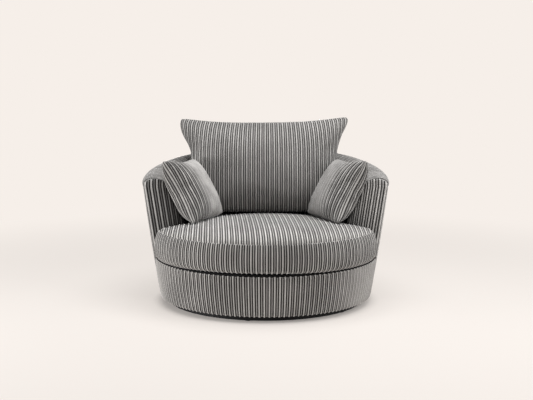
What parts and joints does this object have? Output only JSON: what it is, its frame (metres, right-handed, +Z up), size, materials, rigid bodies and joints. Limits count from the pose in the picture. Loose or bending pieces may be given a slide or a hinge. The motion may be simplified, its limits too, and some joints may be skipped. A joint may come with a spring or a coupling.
{
  "type": "swivel chair",
  "caption": "Round upholstered tub chair that turns on a hidden ball-bearing base, with a thick seat, a back cushion and scatter cushions.",
  "frame": {"origin": "on the floor, on the swivel axis, below the middle of the chair", "axes": "+Z up, the chair faces -Y, +X to the right seen from the front"},
  "size_m": [1.2024, 1.1249, 0.8754],
  "materials": {
    "black_paint": "black painted board",
    "black_plastic": "moulded black plastic",
    "zinc_steel": "zinc plated pressed steel",
    "bearing_steel": "ground steel balls in a steel cage",
    "spring_steel": "oiled spring wire",
    "timber": "plain birch ply and softwood",
    "deck_cloth": "black lining cloth",
    "drum_cord": "jumbo cord, ribs upright",
    "outer_cord": "jumbo cord, ribs upright",
    "inner_cord": "jumbo cord, ribs upright",
    "roll_cord": "jumbo cord, ribs across the roll",
    "facing_cord": "jumbo cord, ribs upright",
    "seat_cord": "jumbo cord, ribs front to back",
    "back_cord": "jumbo cord, ribs upright",
    "scatter_cord": "jumbo cord, ribs upright"
  },
  "bodies": {
    "base": {"floor_board": "black_paint", "glide_1": "black_plastic", "glide_2": "black_plastic", "glide_3": "black_plastic", "glide_4": "black_plastic", "glide_5": "black_plastic", "glide_6": "black_plastic", "lower_bearing_plate": "zinc_steel", "lower_bolt_1": "zinc_steel", "lower_bolt_2": "zinc_steel", "lower_bolt_3": "zinc_steel", "lower_bolt_4": "zinc_steel"},
    "ball_ring": {"ball_ring": "bearing_steel"},
    "chair": {"upper_bearing_plate": "zinc_steel", "upper_bolt_1": "zinc_steel", "upper_bolt_2": "zinc_steel", "upper_bolt_3": "zinc_steel", "upper_bolt_4": "zinc_steel", "base_ring": "timber", "deck_ring": "timber", "swivel_rail_left": "timber", "swivel_rail_right": "timber", "top_rail": "timber", "facing_board_left": "timber", "facing_board_right": "timber", "tub_post_1": "timber", "tub_post_2": "timber", "tub_post_3": "timber", "tub_post_4": "timber", "tub_post_5": "timber", "tub_post_6": "timber", "tub_post_7": "timber", "tub_post_8": "timber", "tub_post_9": "timber", "front_upright_1": "timber", "front_upright_2": "timber", "front_upright_3": "timber", "front_upright_4": "timber", "front_upright_5": "timber", "zigzag_spring_1": "spring_steel", "zigzag_spring_2": "spring_steel", "zigzag_spring_3": "spring_steel", "zigzag_spring_4": "spring_steel", "zigzag_spring_5": "spring_steel", "deck_pad": "deck_cloth", "dust_cover": "deck_cloth", "drum_band": "drum_cord", "outer_arm_cover_left": "outer_cord", "outer_back_cover": "outer_cord", "outer_arm_cover_right": "outer_cord", "inner_arm_pad_left": "inner_cord", "inner_back_pad": "inner_cord", "inner_arm_pad_right": "inner_cord", "rim_roll": "roll_cord", "arm_facing_left": "facing_cord", "arm_facing_right": "facing_cord"},
    "seat_cushion": {"seat_cushion": "seat_cord"},
    "back_cushion": {"back_cushion": "back_cord"},
    "scatter_cushion_left": {"scatter_cushion_left": "scatter_cord"},
    "scatter_cushion_right": {"scatter_cushion_right": "scatter_cord"}
  },
  "joints": [
    {"name": "swivel", "type": "hinge", "parent": "base", "child": "chair", "pos_m": [0, 0, 0.03], "axis": [0, 0, 1], "continuous": true},
    {"name": "ball_ring_spin", "type": "hinge", "parent": "base", "child": "ball_ring", "pos_m": [0, 0, 0.03], "axis": [0, 0, 1], "continuous": true},
    {"name": "seat_cushion_lift", "type": "slide", "parent": "chair", "child": "seat_cushion", "axis": [0, 0, 1], "range_m": [0, 0.3]},
    {"name": "back_cushion_lift", "type": "slide", "parent": "seat_cushion", "child": "back_cushion", "axis": [0, 0.342, 0.9397], "range_m": [0, 0.35]},
    {"name": "scatter_left_lift", "type": "slide", "parent": "seat_cushion", "child": "scatter_cushion_left", "axis": [0, 0, 1], "range_m": [0, 0.35]},
    {"name": "scatter_right_lift", "type": "slide", "parent": "seat_cushion", "child": "scatter_cushion_right", "axis": [0, 0, 1], "range_m": [0, 0.35]}
  ],
  "couplings": [
    {"joint": "ball_ring_spin", "follows": "swivel", "ratio": 0.5}
  ]
}
